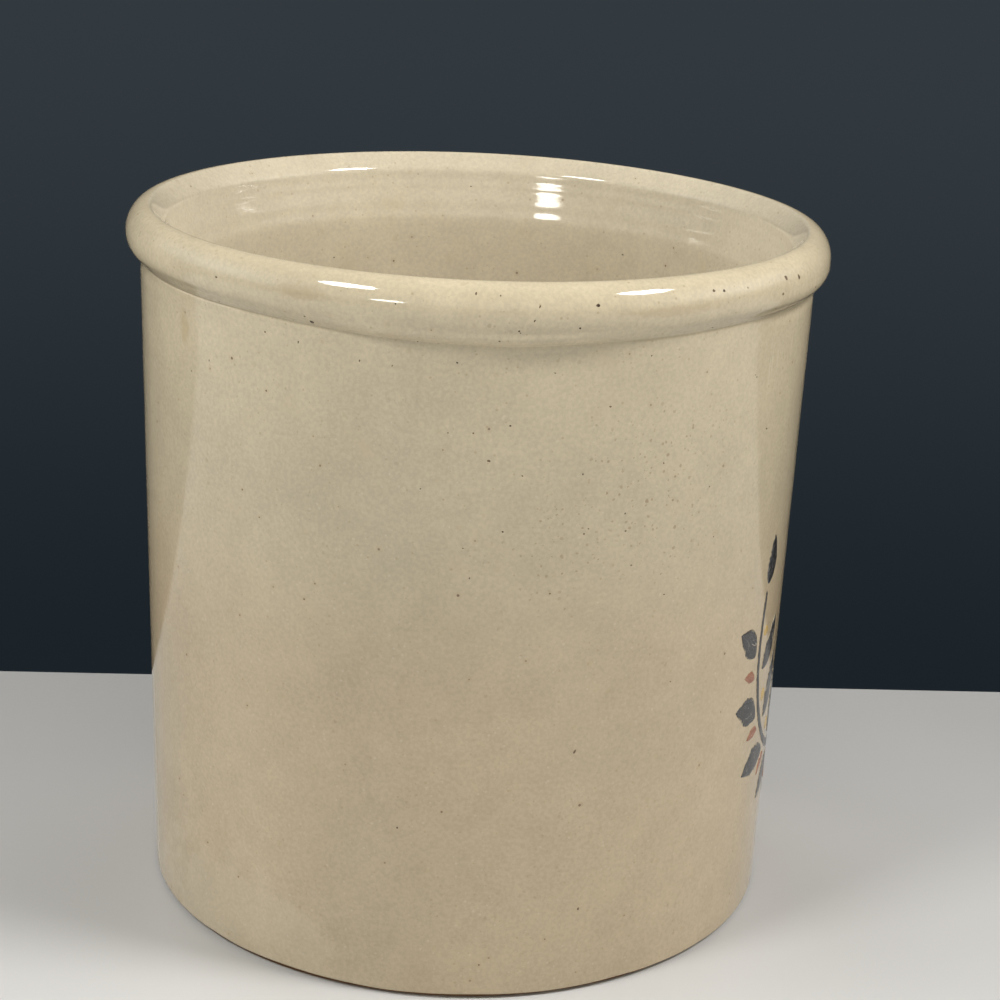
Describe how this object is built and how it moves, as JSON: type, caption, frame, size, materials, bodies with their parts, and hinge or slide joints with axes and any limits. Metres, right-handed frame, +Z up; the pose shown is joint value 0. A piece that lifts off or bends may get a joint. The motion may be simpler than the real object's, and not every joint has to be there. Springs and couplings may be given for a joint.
{
  "type": "utensil crock",
  "caption": "Round glazed stoneware crock with a rolled rim, slightly tapered wall, trimmed foot ring and a brushed leaf spray, for standing kitchen utensils in.",
  "frame": {"origin": "centre of the foot ring, on the surface the crock stands on", "axes": "+Z up along the crock's axis, -Y towards the side seen from the front, +X towards the middle of the brushed spray"},
  "size_m": [0.165, 0.165, 0.1663],
  "materials": {
    "fired_clay": "bare fired stoneware, matte and slightly toasted",
    "liner_glaze": "glossy buff glaze with fine iron specks",
    "outer_glaze": "glossy buff glaze with fine iron specks",
    "charcoal_enamel": "satin brushed underglaze colour, worn in places",
    "rust_enamel": "satin brushed underglaze colour",
    "ochre_enamel": "satin brushed underglaze colour"
  },
  "bodies": {
    "root": {"stoneware_body": "fired_clay", "interior_glaze": "liner_glaze", "exterior_glaze": "outer_glaze", "charcoal_leaf_strokes": "charcoal_enamel", "charcoal_stem_strokes": "charcoal_enamel", "rust_bud_strokes": "rust_enamel", "rust_flower_heart": "rust_enamel", "ochre_flower_petals": "ochre_enamel", "ochre_berry_dots": "ochre_enamel"}
  },
  "joints": []
}
